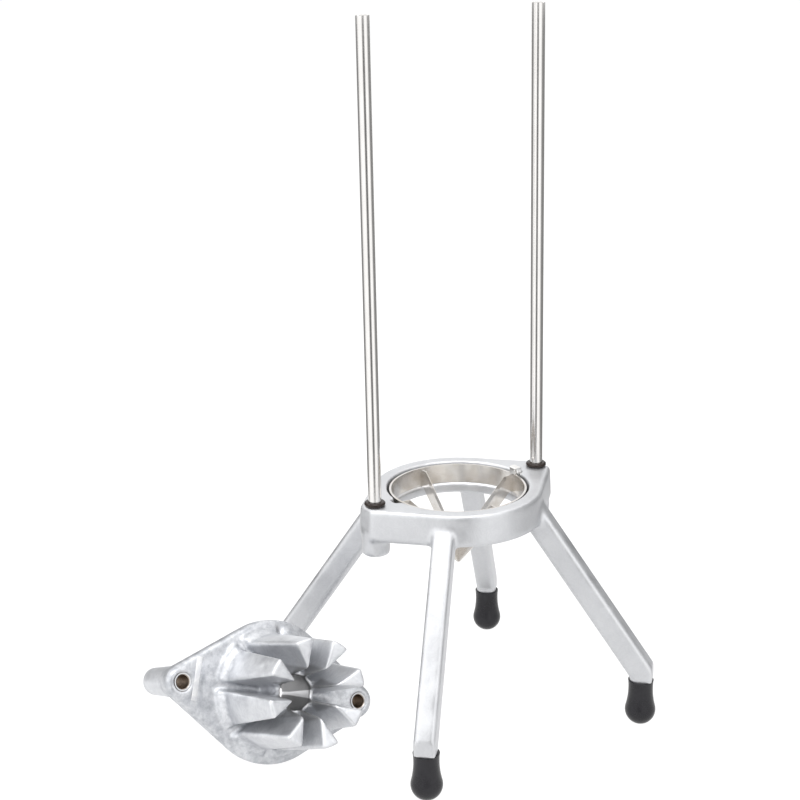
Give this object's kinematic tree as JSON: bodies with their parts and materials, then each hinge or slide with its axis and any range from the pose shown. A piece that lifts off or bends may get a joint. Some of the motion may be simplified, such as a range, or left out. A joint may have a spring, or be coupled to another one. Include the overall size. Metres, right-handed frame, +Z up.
{
  "type": "vegetable wedger",
  "caption": "Countertop vegetable cutter: a cast four-legged frame with upright guide rods, a lift-out ring of crossed V blades and a finger pusher lying beside it.",
  "frame": {"origin": "on the table, under the axis of the blade ring, midway between the four feet", "axes": "+Z up along the guide rods; +X from the left rod to the right rod; the pusher lies towards -X"},
  "size_m": [0.3398, 0.2202, 0.5207],
  "materials": {
    "cast_aluminium": "satin as-cast, edges polished by tumbling",
    "polished_rod": "ground and polished stainless bar",
    "screw_steel": "plain steel",
    "bumper_rubber": "glossy dark rubber",
    "boot_rubber": "satin black rubber",
    "blade_steel": "rolled stainless strip with ground edges",
    "bush_bronze": "oiled sintered bronze"
  },
  "bodies": {
    "frame": {"base_casting": "cast_aluminium", "guide_rod_left": "polished_rod", "guide_rod_right": "polished_rod", "rod_screw_left": "screw_steel", "rod_screw_right": "screw_steel", "rod_bumper_left": "bumper_rubber", "rod_bumper_right": "bumper_rubber", "boot_front": "boot_rubber", "boot_right": "boot_rubber", "boot_back": "boot_rubber", "boot_left": "boot_rubber"},
    "blade_set": {"blade_band": "blade_steel", "blade_long": "blade_steel", "blade_cross": "blade_steel", "seat_lug": "blade_steel"},
    "pusher": {"pusher_casting": "cast_aluminium", "guide_bush_left": "bush_bronze", "guide_bush_right": "bush_bronze"}
  },
  "joints": [
    {"name": "blade_set_lift", "type": "slide", "parent": "frame", "child": "blade_set", "axis": [0, 0, 1], "range_m": [0, 0.09]},
    {"name": "pusher_lift", "type": "slide", "parent": "frame", "child": "pusher", "axis": [0, 0, 1], "range_m": [0, 0.1]}
  ]
}
